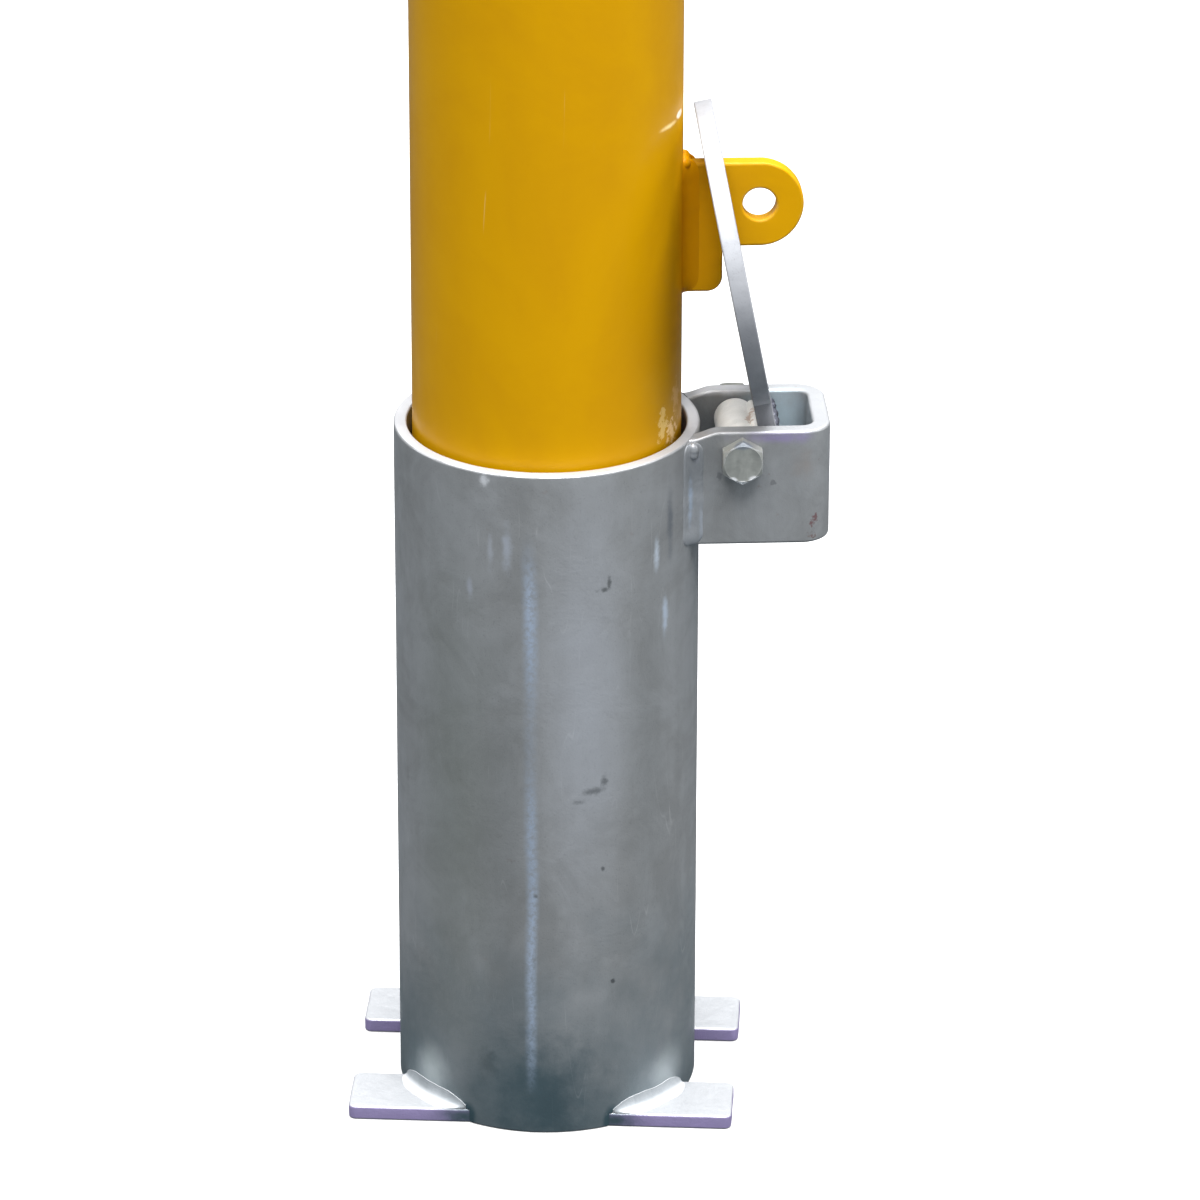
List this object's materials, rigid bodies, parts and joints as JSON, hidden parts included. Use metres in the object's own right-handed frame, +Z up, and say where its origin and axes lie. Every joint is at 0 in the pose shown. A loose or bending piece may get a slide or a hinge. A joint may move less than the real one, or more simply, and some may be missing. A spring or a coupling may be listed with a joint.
{
  "type": "removable bollard",
  "caption": "Tubular steel post standing in a short ground socket, kept in by a hinged round lid that is padlocked to a lug on the post and folds over the empty socket.",
  "frame": {"origin": "centre of the ground socket's bottom face, on the axis of socket and post", "axes": "+Z up along the post, +X towards the hinge bracket, +Y along the hinge bolt towards its nut"},
  "size_m": [0.1619, 0.1016, 1.14],
  "materials": {
    "galvanised": "hot-dip galvanised, mottled, satin",
    "galvanised_lid": "hot-dip galvanised, smooth, satin",
    "weld_zinc": "zinc-coated weld bead",
    "yellow_coat": "semi-gloss traffic yellow coating",
    "zinc_fastener": "zinc-plated",
    "nylon": "matte"
  },
  "bodies": {
    "socket": {"socket_tube": "galvanised", "anchor_bar_front": "galvanised", "anchor_bar_rear": "galvanised", "anchor_weld_front": "weld_zinc", "anchor_weld_rear": "weld_zinc", "hinge_bracket": "galvanised", "bracket_weld_front": "weld_zinc", "bracket_weld_rear": "weld_zinc", "hinge_bolt": "zinc_fastener", "nut_washer": "zinc_fastener", "hinge_nut": "zinc_fastener", "nut_insert": "nylon"},
    "lid": {"lid_plate": "galvanised_lid", "hinge_barrel": "galvanised_lid", "lid_weld": "weld_zinc"},
    "post": {"post_tube": "yellow_coat", "padlock_lug": "yellow_coat", "lug_weld_front": "yellow_coat", "lug_weld_rear": "yellow_coat", "post_cap": "yellow_coat", "cap_weld": "yellow_coat"}
  },
  "joints": [
    {"name": "lid_hinge", "type": "hinge", "parent": "socket", "child": "lid", "pos_m": [0.0632, 0, 0.2333], "axis": [0, 1, 0], "range_deg": [0, 31.5]},
    {"name": "post_lift", "type": "slide", "parent": "socket", "child": "post", "axis": [0, 0, 1], "range_m": [0, 0.0035]}
  ]
}
